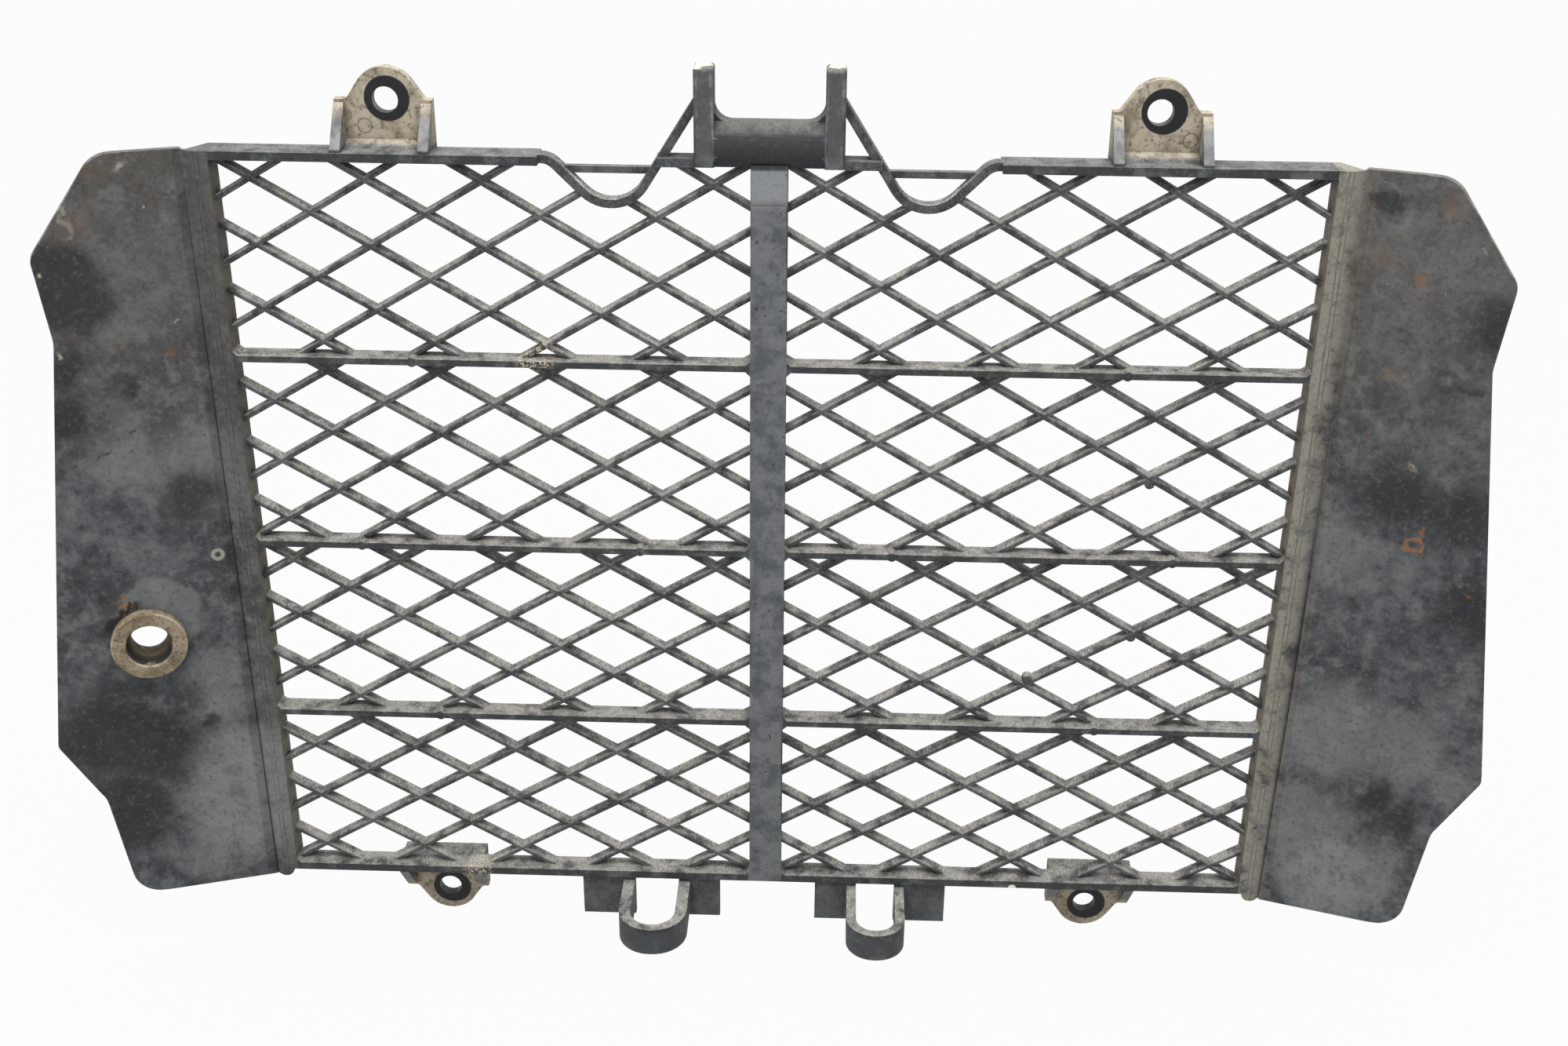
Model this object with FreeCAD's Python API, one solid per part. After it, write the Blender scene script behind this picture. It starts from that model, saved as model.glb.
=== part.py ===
import FreeCAD, Part
import math
import os

os.makedirs("parts", exist_ok=True)

# Driving dimensions in mm. X runs across the cover, Z up, and the front looks towards -Y.
# Depths are counted from the front face of the bars towards the back, heights from the middle bar.
lap = 1.0                # how far joined members run into each other
seat_depth = 14.7        # rear face of the four ears, the plane Y = 0
hole_span_x = 234.0      # bolt holes, across
hole_rise = 15.2         # bolt holes above and below the outer bars
bolt_hole = 8.0          # bolt hole diameter
opening_half = 169.8     # centre line to the inner face of a side wall
bar_pitch = 65.4         # one cross bar to the next
bar_height = 2.1         # front face of a middle bar
bar_depth = 7.4
top_bar_height = 2.7
top_bar_depth = 10.0
bottom_bar_height = 2.8
bottom_bar_depth = 8.0
wall = 2.5               # side walls and sheet
wall_depth = 9.0
bar_chamfer = 1.5        # where a bar meets a side wall or the spine
spine_half = 5.65        # half the width of the upright in the middle
spine_step = 0.7         # the spine's head lies this far behind its front
spine_head = 12.8        # height of that head up to the top bar

# The lattice of diamonds between the bars.
diamond_pitch = 35.5     # lattice columns, across
diamond_rise = 10.51     # half the height of one mesh
mesh_offset_near = 5.15  # mesh centre from bars one and three
rib_width = 2.0
rib_front = 3.4
rib_back = 7.4
column_a = 34.8          # first whole column from the centre line

# The dip in the top edge on each side of the yoke, and the yoke itself.
scallop_x = 46.1         # lowest corner of the dip, before rounding
scallop_drop = 20.8
scallop_radius = 12.0
scallop_run = 20.8       # from the low corner out to the shoulder
shoulder_radius = 6.0
brace_angle = 58.0       # slope of the strap up to the post
strap_thick = 2.6
strap_front = 3.0
bridge_drop = 3.65       # thin bridge across the dip, below the top bar's middle
bridge_height = 2.1
bridge_depth = 2.4
inner_bar_front = 1.0
post_half_gap = 16.6     # centre line to the inner face of a yoke post
post_width = 6.1
post_rise = 29.0         # top of a post above the top bar's middle
yoke_depth = 8.0         # posts, strap, bridge and saddle end here
saddle_rise = 12.4       # floor of the yoke above the top bar's middle
saddle_fillet = 5.5
saddle_nose = 3.5        # where the slopes of the saddle's front would meet, before rounding
saddle_round = 8.5
saddle_back_set = 3.4    # front of the saddle's top edge

# The wings beside the opening, drawn flat from the fold outwards.
strip_width = 4.7        # flat strip between side wall and fold
strip_drop = 3.0         # the strip's foot below the bottom bar
wing_angle = 19.0        # bend of the wing towards the front
wing_head = 26.3         # end of the top edge
wing_head_rise = 2.2     # top edge above the top bar's middle
wing_horn = 48.3         # upper outer corner
wing_horn_drop = 28.5
wing_waist = 45.4        # narrow place below the corner
wing_waist_drop = 55.8
wing_reach = 65.7        # widest place
wing_reach_rise = 62.3   # above the bottom bar's middle
wing_tail = 53.3         # lower notch in the outer edge
wing_tail_rise = 38.8
wing_foot = 47.8         # end of the bottom edge
wing_foot_drop = 2.5

# The rubber grommet in the left wing.
grommet_s = 31.4         # centre along the wing from the fold
grommet_z = -32.6
grommet_seat = 19.0      # hole in the wing
grommet_clearance = 0.15
grommet_bore = 12.0
front_flange = 2.8       # how far the flange stands out past the hole
front_height = 3.7       # how far the grommet stands out of each face
rear_height = 5.5
mouth_depth = 4.9        # wider mouth of the bore at the front
mouth_wall = 2.0

# The four bolting ears.
ear_thick = 3.5          # plate with the bolt hole
ear_rim = 5.9            # material round the bolt hole
ear_flank = 33.76        # half angle between the dome's flanks
ear_ledge = 2.25         # level shoulder beside the dome
ear_shift = 0.75         # ear body outboard of its hole
shelf_front = 7.0        # shelf behind the bar that carries the plate
gusset_thick = 3.1
gusset_front = 0.8
foot_rise = 1.8          # sloping foot of the plate

# The forward loops under the bottom bar, each between two hanging tabs.
loop_reach = 28.0        # how far a loop stands out in front of the bars
loop_thick = 3.2
loop_gap_z = 1.3         # top of a loop below the bottom bar
loop_height = 10.5
tab_drop = 16.2          # bottom of a tab below the bottom bar
tab_front = 0.6
tab_thick = 2.6
left_loop_x = -39.1
left_loop_half = 7.9     # half the clear width of the loop
left_loop_side = 4.1     # thickness of the loop's legs
left_tab_out = 26.8      # ends of the tabs, from the middle of the loop
left_tab_in = 22.7
right_loop_x = 39.7
right_loop_half = 6.9
right_loop_side = 3.4
right_tab_out = 25.2
right_tab_in = 21.7

# Places that follow from the sizes.
top_z = 2.0 * bar_pitch
bar_low = top_z - top_bar_height / 2.0
bar_high = top_z + top_bar_height / 2.0
base_low = -top_z - bottom_bar_height / 2.0
base_high = -top_z + bottom_bar_height / 2.0
fold_x = opening_half + wall + strip_width
ear_front = seat_depth - ear_thick
hole_z = top_z + hole_rise
brace_slope = math.tan(math.radians(brace_angle))


def vec(x, depth, z):
    """A point from its depth behind the front face."""
    return FreeCAD.Vector(x, depth - seat_depth, z)


def block(x0, x1, d0, d1, z0, z1):
    size = (abs(x1 - x0), abs(d1 - d0), abs(z1 - z0))
    return Part.makeBox(size[0], size[1], size[2], vec(min(x0, x1), min(d0, d1), min(z0, z1)))


def rounded(corners, place, closed=True):
    """A wire through corners (a, b) or (a, b, radius), each radius becoming a tangent arc."""
    count = len(corners)
    pieces = []
    ends = []
    for i, corner in enumerate(corners):
        here = FreeCAD.Vector(corner[0], corner[1], 0)
        radius = corner[2] if len(corner) > 2 else 0.0
        if radius == 0.0:
            ends.append((here, here, None))
            continue
        back = FreeCAD.Vector(corners[i - 1][0], corners[i - 1][1], 0) - here
        ahead = FreeCAD.Vector(corners[(i + 1) % count][0], corners[(i + 1) % count][1], 0) - here
        half = back.getAngle(ahead) / 2.0
        reach = radius / math.tan(half)
        back.normalize()
        ahead.normalize()
        middle = back + ahead
        middle.normalize()
        top = here + middle * (radius / math.sin(half) - radius)
        ends.append((here + back * reach, here + ahead * reach, top))
    for i, (start, finish, top) in enumerate(ends):
        if top is not None:
            pieces.append(Part.Arc(place(start), place(top), place(finish)).toShape())
        if not closed and i == count - 1:
            break
        following = ends[(i + 1) % count][0]
        if (following - finish).Length > 1e-6:
            pieces.append(Part.makeLine(place(finish), place(following)))
    return Part.Wire(pieces)


def upright(corners, d0, d1):
    """Outline drawn in X and Z, made solid between two depths."""
    face = Part.Face(rounded(corners, lambda p: vec(p.x, d0, p.y)))
    return face.extrude(FreeCAD.Vector(0, d1 - d0, 0))


def plan(corners, z0, z1):
    """Outline drawn in X and depth, made solid between two heights."""
    face = Part.Face(rounded(corners, lambda p: vec(p.x, p.y, z0)))
    return face.extrude(FreeCAD.Vector(0, 0, z1 - z0))


def side(corners, x0, x1):
    """Outline drawn in depth and Z, made solid between two stations across."""
    face = Part.Face(rounded(corners, lambda p: vec(x0, p.x, p.y)))
    return face.extrude(FreeCAD.Vector(x1 - x0, 0, 0))


def corner_fill(x, z, to_x, to_z, radius, d0, d1):
    """Hollow fillet in the corner at (x, z), opening in the given directions."""
    square = block(x, x + to_x * radius, d0, d1, z, z + to_z * radius)
    axis = vec(x + to_x * radius, d0 - 1.0, z + to_z * radius)
    return square.cut(Part.makeCylinder(radius, d1 - d0 + 2.0, axis, FreeCAD.Vector(0, 1, 0)))


def corner_wedge(x, z, to_x, to_z, depth):
    """Small wedge in the corner at (x, z), opening in the given directions."""
    return upright([(x, z), (x + to_x * bar_chamfer, z), (x, z + to_z * bar_chamfer)], 0, depth)


def mirrored(shape):
    return shape.mirror(FreeCAD.Vector(0, 0, 0), FreeCAD.Vector(1, 0, 0))


def flipped(shape):
    return shape.mirror(FreeCAD.Vector(0, 0, 0), FreeCAD.Vector(0, 0, 1))


def strap(corners, thick, d0, d1):
    """A band of even thickness along a line with rounded corners."""
    sides = ([], [])
    for i, corner in enumerate(corners):
        here = FreeCAD.Vector(corner[0], corner[1], 0)
        before = corners[max(i - 1, 0)]
        after = corners[min(i + 1, len(corners) - 1)]
        come = here - FreeCAD.Vector(before[0], before[1], 0) if i > 0 else None
        go = FreeCAD.Vector(after[0], after[1], 0) - here if i < len(corners) - 1 else None
        normals = []
        for way in (come, go):
            if way is not None:
                way.normalize()
                normals.append(FreeCAD.Vector(-way.y, way.x, 0))
        mitre = normals[0] + normals[-1]
        mitre.normalize()
        stretch = thick / 2.0 / mitre.dot(normals[0])
        turn = 0.0
        if come is not None and go is not None:
            turn = come.x * go.y - come.y * go.x
        for which, sign in ((0, 1.0), (1, -1.0)):
            spot = here + mitre * (sign * stretch)
            entry = [spot.x, spot.y]
            if len(corner) > 2:
                entry.append(corner[2] - sign * math.copysign(thick / 2.0, turn))
            sides[which].append(tuple(entry))
    return upright(sides[0] + sides[1][::-1], d0, d1)


def clip(points, axis, limit, keep_above):
    """Cuts a flat polygon with one straight line across an axis."""
    kept = []
    for i, here in enumerate(points):
        last = points[i - 1]
        here_in = (here[axis] >= limit) == keep_above
        last_in = (last[axis] >= limit) == keep_above
        if here_in != last_in:
            part = (limit - last[axis]) / (here[axis] - last[axis])
            kept.append(tuple(last[k] + part * (here[k] - last[k]) for k in (0, 1)))
        if here_in:
            kept.append(here)
    return kept


def area(points):
    total = 0.0
    for i, here in enumerate(points):
        last = points[i - 1]
        total += last[0] * here[1] - here[0] * last[1]
    return abs(total) / 2.0


def flat_face(points, depth):
    spots = [vec(x, depth, z) for x, z in points]
    return Part.Face(Part.makePolygon(spots + spots[:1]))


# The lattice: four rows of diamonds in each half, each row the mirror of the next across its bar.
slope = math.atan2(2.0 * diamond_rise, diamond_pitch)
half_wide = diamond_pitch / 2.0 - rib_width / 2.0 / math.sin(slope)
half_tall = diamond_rise - rib_width / 2.0 / math.cos(slope)
mesh_offset_far = bar_pitch - 5.0 * diamond_rise - mesh_offset_near
low_face = [bar_low]
low_face += [bar_pitch * n - bar_height / 2.0 for n in (1, 0, -1)]
high_face = [bar_pitch * n + bar_height / 2.0 for n in (1, 0, -1)]
high_face.append(base_high)
shoulder_x = scallop_x + scallop_run
brace_x = scallop_x - scallop_drop / brace_slope
scallop = [(shoulder_x, top_z, shoulder_radius), (scallop_x, top_z - scallop_drop, scallop_radius)]
scallop.append((brace_x, top_z))


def row_of_ribs(row):
    upper_bar = top_z - row * bar_pitch
    offset = mesh_offset_far if row % 2 == 0 else mesh_offset_near
    floor_z = upper_bar - bar_pitch
    outline = [(spine_half - lap, floor_z), (opening_half + lap, floor_z)]
    outline.append((opening_half + lap, upper_bar))
    if row == 0:
        outline += scallop
    outline.append((spine_half - lap, upper_bar))
    sheet = Part.Face(rounded(outline, lambda p: vec(p.x, rib_front, p.y)))
    holes = []
    for level in range(-1, 8):
        z = upper_bar - offset - level * diamond_rise
        whole = (level % 2 == 0) == (row % 2 == 0)
        for column in range(-1, 6):
            x = column_a + column * diamond_pitch
            if not whole:
                x += diamond_pitch / 2.0
            mesh = [(x - half_wide, z), (x, z - half_tall), (x + half_wide, z), (x, z + half_tall)]
            mesh = clip(mesh, 0, spine_half, True)
            mesh = clip(mesh, 0, opening_half, False) if mesh else mesh
            mesh = clip(mesh, 1, high_face[row], True) if mesh else mesh
            mesh = clip(mesh, 1, low_face[row], False) if mesh else mesh
            if len(mesh) > 2 and area(mesh) > 2.0:
                holes.append(flat_face(mesh, rib_front))
    pierced = sheet.cut(Part.makeCompound(holes))
    return pierced.extrude(FreeCAD.Vector(0, rib_back - rib_front, 0))


half = [row_of_ribs(row) for row in range(4)]

# Frame of the opening: side wall, cross bars with wedges at their ends, top bar and flat strip.
half.append(block(opening_half, opening_half + wall, 0, wall_depth, base_low, bar_high))
for n in (1, 0, -1):
    low = n * bar_pitch - bar_height / 2.0
    high = low + bar_height
    half.append(block(spine_half - lap, opening_half + lap, 0, bar_depth, low, high))
    for edge, way in ((high, 1), (low, -1)):
        half.append(corner_wedge(opening_half, edge, -1, way, bar_depth))
        half.append(corner_wedge(spine_half, edge, 1, way, bar_depth))
bar_start = shoulder_x + shoulder_radius / 2.0
half.append(block(bar_start, opening_half + wall, 0, top_bar_depth, bar_low, bar_high))
taper = [(opening_half + wall, 0), (opening_half + wall, top_bar_depth), (fold_x, wall), (fold_x, 0)]
half.append(plan(taper, bar_low, bar_high))
half.append(block(spine_half - lap, opening_half + lap, 0, bottom_bar_depth, base_low, base_high))
half.append(corner_wedge(spine_half, base_high, 1, 1, bar_depth))
half.append(corner_wedge(opening_half, base_high, -1, 1, bar_depth))
strip_low = base_low - strip_drop
strip_in = opening_half + wall / 2.0
strip = [(strip_in, bar_high), (fold_x, bar_high), (fold_x, strip_low), (strip_in, strip_low, strip_drop)]
half.append(upright(strip, 0, wall))

# Strap round each scallop, running on as the brace of a yoke post, with a thin bridge behind.
post_out = post_half_gap + post_width
brace_end = post_out - lap
brace_top = top_z - scallop_drop + (scallop_x - brace_end) * brace_slope
path = [(bar_start + strap_front, top_z), scallop[0], scallop[1], (brace_end, brace_top)]
half.append(strap(path, strap_thick, strap_front, yoke_depth))
bridge_in = brace_x + bridge_drop / brace_slope
bridge_out = shoulder_x - bridge_drop * scallop_run / scallop_drop
bridge_low = top_z - bridge_drop - bridge_height / 2.0
bridge_front = yoke_depth - bridge_depth
half.append(block(bridge_in, bridge_out, bridge_front, yoke_depth, bridge_low, bridge_low + bridge_height))
half.append(block(brace_end, brace_x + lap, inner_bar_front, yoke_depth, bar_low, bar_high))

# Yoke post.
post_top = top_z + post_rise
post = [(post_half_gap, bar_low), (post_out, bar_low)]
post += [(post_out, post_top), (post_half_gap, post_top)]
half.append(upright(post, 0, yoke_depth))


def ear(centre_x):
    """Bolting ear above the top bar: shelf, domed plate, two gussets and a foot."""
    dome = bolt_hole / 2.0 + ear_rim
    apex = dome / math.sin(math.radians(ear_flank))
    neck = apex * math.tan(math.radians(ear_flank))
    ear_half = ear_shift + neck + ear_ledge
    west = centre_x + ear_shift - ear_half
    east = centre_x + ear_shift + ear_half
    soft = 0.4 * ear_ledge
    plate = [(west, bar_low), (east, bar_low), (east, hole_z), (centre_x + neck, hole_z, 2.0 * soft)]
    plate += [(centre_x, hole_z + apex, dome), (centre_x - neck, hole_z, 2.0 * soft), (west, hole_z)]
    shape = upright(plate, ear_front, seat_depth)
    shape = shape.fuse(block(west, east, shelf_front, seat_depth, bar_low, bar_high))
    foot = [(shelf_front, bar_low), (ear_front + lap, bar_low), (ear_front + lap, bar_high + foot_rise)]
    foot += [(ear_front, bar_high + foot_rise), (shelf_front, bar_high)]
    shape = shape.fuse(side(foot, west, east))
    gusset = [(gusset_front, bar_low), (ear_front + lap, bar_low), (ear_front + lap, hole_z - soft)]
    gusset += [(ear_front - soft, hole_z - soft), (gusset_front, bar_high + soft)]
    for start in (west, east - gusset_thick):
        shape = shape.fuse(side(gusset, start, start + gusset_thick))
    bore_front = vec(centre_x, ear_front - lap, hole_z)
    bore = Part.makeCylinder(bolt_hole / 2.0, ear_thick + 2.0 * lap, bore_front, FreeCAD.Vector(0, 1, 0))
    return shape.cut(bore)


upper_ear = ear(hole_span_x / 2.0)
half.append(upper_ear)
half.append(flipped(upper_ear))


# Wings: flat sheet drawn beside the fold, then swung forward about it.
def wing():
    edge = [(0, bar_high), (lap, top_z + wing_head_rise), (wing_head, top_z + wing_head_rise, 10.0)]
    edge += [(wing_horn, top_z - wing_horn_drop, 6.0), (wing_waist, top_z - wing_waist_drop, 14.0)]
    edge += [(wing_reach, wing_reach_rise - top_z, 4.0), (wing_tail, wing_tail_rise - top_z, 12.0)]
    edge += [(wing_foot, -top_z - wing_foot_drop, 10.0), (0, strip_low + lap)]
    sheet = upright([(fold_x + p[0],) + p[1:] for p in edge], 0, wall)
    sheet.rotate(vec(fold_x, 0, 0), FreeCAD.Vector(0, 0, 1), -wing_angle)
    bend = math.radians(wing_angle)
    sheet_lap = 0.3 * lap
    lap_x = fold_x + sheet_lap * math.cos(bend)
    lap_d = -sheet_lap * math.sin(bend)
    heel = [(fold_x - sheet_lap, 0), (fold_x, 0), (lap_x, lap_d)]
    heel += [(lap_x + wall * math.sin(bend), lap_d + wall * math.cos(bend)), (fold_x - sheet_lap, wall)]
    return sheet.fuse(plan(heel, strip_low + lap, bar_high))


half.append(wing())
right = half[0].multiFuse(half[1:])
left = mirrored(right)

# Middle of the cover: upright spine with its recessed head, saddle of the yoke, loops and their tabs.
head_z = top_z - spine_head
middle = [block(-spine_half, spine_half, 0, bar_depth, base_low, head_z)]
middle.append(block(-spine_half, spine_half, spine_step, bar_depth, head_z - lap, bar_low + lap))
saddle_z = top_z + saddle_rise
barrel = [(yoke_depth - lap / 2.0, bar_low), (saddle_back_set - lap, bar_low)]
barrel += [(-saddle_nose, (bar_low + saddle_z) / 2.0, saddle_round), (saddle_back_set, saddle_z)]
barrel += [(saddle_back_set, saddle_z + saddle_fillet + lap)]
barrel += [(yoke_depth - lap / 2.0, saddle_z + saddle_fillet + lap)]
reach = post_half_gap + lap / 2.0
saddle = block(-reach, reach, -saddle_nose, yoke_depth, bar_low, saddle_z)
saddle = saddle.fuse(corner_fill(post_half_gap, saddle_z, -1, 1, saddle_fillet, 0, yoke_depth))
saddle = saddle.fuse(corner_fill(-post_half_gap, saddle_z, 1, 1, saddle_fillet, 0, yoke_depth))
middle.append(saddle.common(side(barrel, -reach, reach)))


def loop(centre_x, inner, leg, west, east):
    """Forward loop under the bottom bar between two hanging tabs."""
    outer = inner + leg
    tip = -loop_reach
    root = tab_front + tab_thick - lap
    round_out = outer - 0.3 * lap
    round_in = inner - 0.3 * lap
    bow = [(-outer, root), (-outer, tip, round_out), (outer, tip, round_out), (outer, root), (inner, root)]
    bow += [(inner, tip + loop_thick, round_in), (-inner, tip + loop_thick, round_in), (-inner, root)]
    loop_high = base_low - loop_gap_z
    bow = [(centre_x + p[0],) + p[1:] for p in bow]
    pieces = [plan(bow, loop_high - loop_height, loop_high)]
    tab_back = tab_front + tab_thick
    tab_low = base_low - tab_drop
    for start, finish in ((centre_x - west, centre_x - inner), (centre_x + inner, centre_x + east)):
        pieces.append(block(start, finish, tab_front, tab_back, tab_low, base_low + lap))
    return pieces[0].multiFuse(pieces[1:])


middle.append(loop(left_loop_x, left_loop_half, left_loop_side, left_tab_out, left_tab_in))
middle.append(loop(right_loop_x, right_loop_half, right_loop_side, right_tab_in, right_tab_out))

cover = right.multiFuse([left] + middle)

# Hole for the grommet in the left wing, square to the sheet.
turn = math.radians(wing_angle)
out = FreeCAD.Vector(-math.cos(turn), -math.sin(turn), 0)
inward = FreeCAD.Vector(-math.sin(turn), math.cos(turn), 0)
grommet_at = vec(-fold_x, 0, grommet_z) + out * grommet_s
through = Part.makeCylinder(grommet_seat / 2.0, wall + 2.0 * lap, grommet_at - inward * lap, inward)
cover = cover.cut(through)
cover = cover.removeSplitter()

# Rubber grommet: front flange, barrel through the sheet and a bore with an inner lip.
seat_r = grommet_seat / 2.0
neck_r = seat_r - grommet_clearance
mouth_r = seat_r - mouth_wall
bore_r = grommet_bore / 2.0
flange_r = seat_r + front_flange
back = wall + rear_height
section = [(mouth_r, -front_height), (flange_r, -front_height)]
section += [(flange_r, 0.0), (neck_r, 0.0), (neck_r, back), (bore_r, back)]
section += [(bore_r, mouth_depth - front_height), (mouth_r, mouth_depth - front_height)]
spots = [FreeCAD.Vector(r, 0, a) for r, a in section]
ring = Part.Face(Part.makePolygon(spots + spots[:1]))
ring = ring.revolve(FreeCAD.Vector(0, 0, 0), FreeCAD.Vector(0, 0, 1), 360)
ring.Placement = FreeCAD.Placement(grommet_at, FreeCAD.Rotation(FreeCAD.Vector(0, 0, 1), inward))

for name, shape in (("radiator_cover", cover), ("wing_grommet", ring)):
    solid = shape.Solids[0] if len(shape.Solids) == 1 else shape
    print(name, "solids", len(shape.Solids), "valid", solid.isValid(), "volume", round(solid.Volume))
    solid.exportStep("parts/" + name + ".step")
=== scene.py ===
import bmesh
import bpy
import math
from mathutils import Matrix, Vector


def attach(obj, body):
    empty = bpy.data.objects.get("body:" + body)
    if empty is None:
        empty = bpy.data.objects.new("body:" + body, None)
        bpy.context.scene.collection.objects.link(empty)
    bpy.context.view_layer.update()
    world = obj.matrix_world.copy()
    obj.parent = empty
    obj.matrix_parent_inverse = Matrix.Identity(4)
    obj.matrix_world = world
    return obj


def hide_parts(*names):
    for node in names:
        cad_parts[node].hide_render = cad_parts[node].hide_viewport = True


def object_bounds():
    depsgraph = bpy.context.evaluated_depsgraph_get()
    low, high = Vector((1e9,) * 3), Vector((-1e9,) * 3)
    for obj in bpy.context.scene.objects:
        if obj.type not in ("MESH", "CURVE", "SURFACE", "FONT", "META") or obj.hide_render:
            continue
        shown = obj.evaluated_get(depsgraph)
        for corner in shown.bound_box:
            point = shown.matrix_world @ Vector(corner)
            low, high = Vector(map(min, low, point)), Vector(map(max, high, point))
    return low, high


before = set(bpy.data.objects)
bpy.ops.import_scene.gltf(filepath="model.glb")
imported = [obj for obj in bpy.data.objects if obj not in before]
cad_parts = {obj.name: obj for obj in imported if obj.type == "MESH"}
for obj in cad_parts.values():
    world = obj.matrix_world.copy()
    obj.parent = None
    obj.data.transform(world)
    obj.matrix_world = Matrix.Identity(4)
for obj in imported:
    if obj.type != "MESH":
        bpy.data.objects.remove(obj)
cad_box = [list(corner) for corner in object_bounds()]
bpy.context.scene.view_settings.view_transform = "Standard"

# The cover is one injection moulding in dark grey plastic: bars, lattice, wings, ears, yoke and loops come
# out of the mould together. Its ribs, posts, spine, folds and wings have rounded edges, and four bolts
# through the ears hold it before the radiator. The road has bleached, scuffed, rusted and dusted it.
bar_front = -0.0147
rib_front = bar_front + 0.0034
spine_half = 0.00565
fold_x = 0.177
fold_turn = math.radians(19.0)
post_inner = 0.0165
post_outer = 0.0229
post_foot = 0.1290
post_top = 0.1598
ear_face = -0.0035
ear_places = [(x, z) for x in (-0.117, 0.117) for z in (-0.146, 0.146)]
sharp_edge = math.radians(33.0)
flat_edge = math.radians(0.5)
smooth_edge = math.radians(50.0)
same_plane = math.radians(0.4)
outward_turn = 1.0
widest_curved = 0.0001
same_point = 0.00001
sliver = 0.00002


def joined_copy(node_name, name, cuts=()):
    """A copy of a CAD piece with its triangles joined into whole faces, left in edit mode."""
    piece = bpy.data.objects.new(name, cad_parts[node_name].data.copy())
    bpy.context.scene.collection.objects.link(piece)
    bpy.ops.object.select_all(action="DESELECT")
    piece.select_set(True)
    bpy.context.view_layer.objects.active = piece
    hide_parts(node_name)
    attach(piece, "root")
    piece.data.materials.clear()
    for kind in ("_face", "_edge"):
        piece.data.materials.append(bpy.data.materials.new(name + kind))
    bpy.ops.object.mode_set(mode="EDIT")
    bpy.ops.mesh.select_all(action="SELECT")
    bpy.ops.mesh.remove_doubles(threshold=same_point)
    bpy.ops.mesh.select_mode(type="EDGE")
    for x in cuts:
        bpy.ops.mesh.select_all(action="SELECT")
        bpy.ops.mesh.bisect(plane_co=(x, 0.0, 0.0), plane_no=(1.0, 0.0, 0.0))
        bpy.ops.mesh.mark_seam()
    bpy.ops.mesh.select_all(action="SELECT")
    bpy.ops.mesh.dissolve_limited(angle_limit=same_plane, delimit={"SEAM"})
    return piece


def round_edges(piece, wanted, width, steps):
    """Rounds, in edit mode, the edges for which a test on both ends and the angle holds."""
    shape = bmesh.from_edit_mesh(piece.data)
    for face in shape.faces:
        face.select_set(False)
    for edge in shape.edges:
        plain = len(edge.link_faces) == 2
        ends = [vertex.co for vertex in edge.verts]
        edge.select_set(plain and wanted(ends, edge.calc_face_angle_signed()))
    shape.select_flush_mode()
    bmesh.update_edit_mesh(piece.data)
    bpy.ops.mesh.bevel(offset=width, segments=steps, affect="EDGES", clamp_overlap=False, loop_slide=False,
                       material=1)


def flat_shading(piece):
    """Keeps the light even over flat faces, so that only the rounded edges and the curved faces shade."""
    shape = bmesh.new()
    shape.from_mesh(piece.data)
    for face in shape.faces:
        face.smooth = face.material_index == 1
    for edge in shape.edges:
        if len(edge.link_faces) == 2 and flat_edge < edge.calc_face_angle() < sharp_edge:
            if all(face.material_index == 0 for face in edge.link_faces):
                for face in edge.link_faces:
                    face.smooth = True
    for face in shape.faces:
        face.smooth = face.smooth and face.calc_area() < widest_curved
    shape.to_mesh(piece.data)
    shape.free()


def clear_slivers():
    """Merges, in edit mode, points that nearly meet, so that no face is left without width."""
    bpy.ops.mesh.select_all(action="SELECT")
    bpy.ops.mesh.remove_doubles(threshold=sliver)
    bpy.ops.mesh.dissolve_degenerate(threshold=sliver)


def weigh_edges(piece, room, inner):
    """Marks for rounding the sharp edges beyond an inner width that meet no edge shorter than the room."""
    shape = bmesh.new()
    shape.from_mesh(piece.data)
    weight = shape.edges.layers.float.new("bevel_weight_edge")
    for edge in shape.edges:
        beside = [other.calc_length() for vertex in edge.verts for other in vertex.link_edges]
        sharp = len(edge.link_faces) == 2 and edge.calc_face_angle() > sharp_edge
        outside = all(abs(vertex.co.x) > inner for vertex in edge.verts)
        edge[weight] = float(sharp and outside and min(beside) > room)
    shape.to_mesh(piece.data)
    shape.free()


def soften(piece, softness, room, inner):
    """Rounds the sharp edges that have room for it and marks all rounded faces, where rubbing shows first."""
    clear_slivers()
    bpy.ops.object.mode_set(mode="OBJECT")
    weigh_edges(piece, room, inner)
    rounding = piece.modifiers.new("soft_edges", "BEVEL")
    rounding.width = softness
    rounding.segments = 2
    rounding.limit_method = "WEIGHT"
    rounding.loop_slide = False
    rounding.use_clamp_overlap = False
    rounding.material = 1
    bpy.ops.object.modifier_apply(modifier=rounding.name)
    bpy.ops.object.mode_set(mode="EDIT")
    clear_slivers()
    bpy.ops.object.mode_set(mode="OBJECT")
    bpy.ops.object.shade_smooth_by_angle(angle=smooth_edge)
    flat_shading(piece)
    rubbed = piece.data.attributes.new("rubbed_edge", "FLOAT", "FACE")
    for face in piece.data.polygons:
        rubbed.data[face.index].value = float(face.material_index == 1 and face.area < widest_curved)
        face.material_index = 0
    piece.data.materials.pop(index=1)


plane_slack = 0.00002
spine_slack = 0.00003
fold_slack = 0.00005
fold_least_turn = 0.2
post_cap = 0.0005
spine_least_run = 0.002


def on_front(ends, depth):
    return all(abs(end.y - depth) < plane_slack for end in ends)


def rib_front_edge(ends, turn):
    return turn > outward_turn and on_front(ends, rib_front)


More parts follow.
